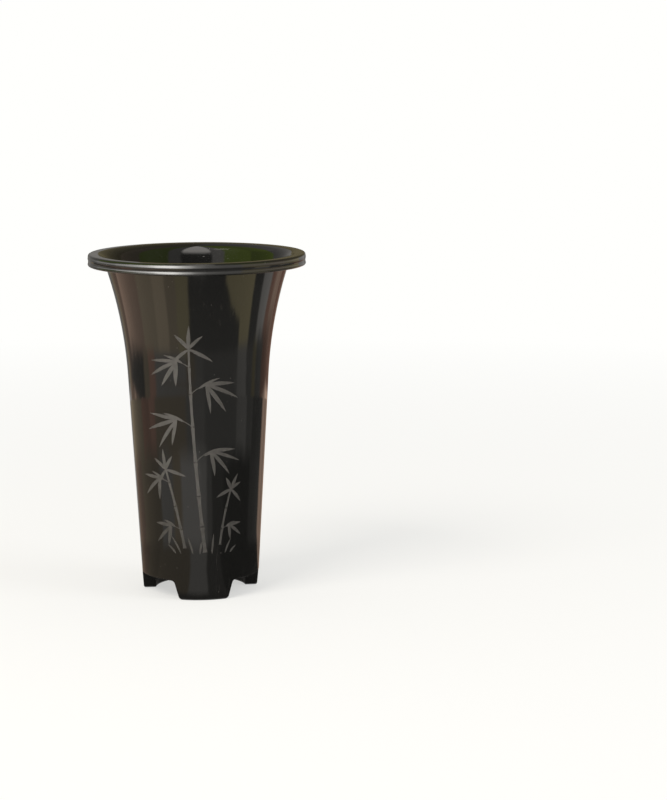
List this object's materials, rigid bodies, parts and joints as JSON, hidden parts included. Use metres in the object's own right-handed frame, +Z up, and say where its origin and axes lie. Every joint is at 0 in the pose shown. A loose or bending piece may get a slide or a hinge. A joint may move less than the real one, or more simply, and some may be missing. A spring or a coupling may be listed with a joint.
{
  "type": "plastic flower pot",
  "caption": "Tall flared plastic flower pot on a castellated foot ring with drain slots, with a perforated drainage dome that lifts out through the mouth.",
  "frame": {"origin": "centre of the foot plane, on the pot's axis, where the feet rest", "axes": "+Z up along the pot's axis, -Y towards the front foot and the etched design, +X to the viewer's right"},
  "size_m": [0.15, 0.15, 0.236],
  "materials": {
    "black_gloss_polypropylene": "high-gloss injection-moulded polypropylene",
    "black_satin_polypropylene": "semi-gloss injection-moulded polypropylene"
  },
  "bodies": {
    "pot": {"pot_shell": "black_gloss_polypropylene"},
    "dome": {"drainage_dome": "black_satin_polypropylene"}
  },
  "joints": [
    {"name": "dome_lift", "type": "slide", "parent": "pot", "child": "dome", "axis": [0, 0, 1], "range_m": [0, 0.245]}
  ]
}
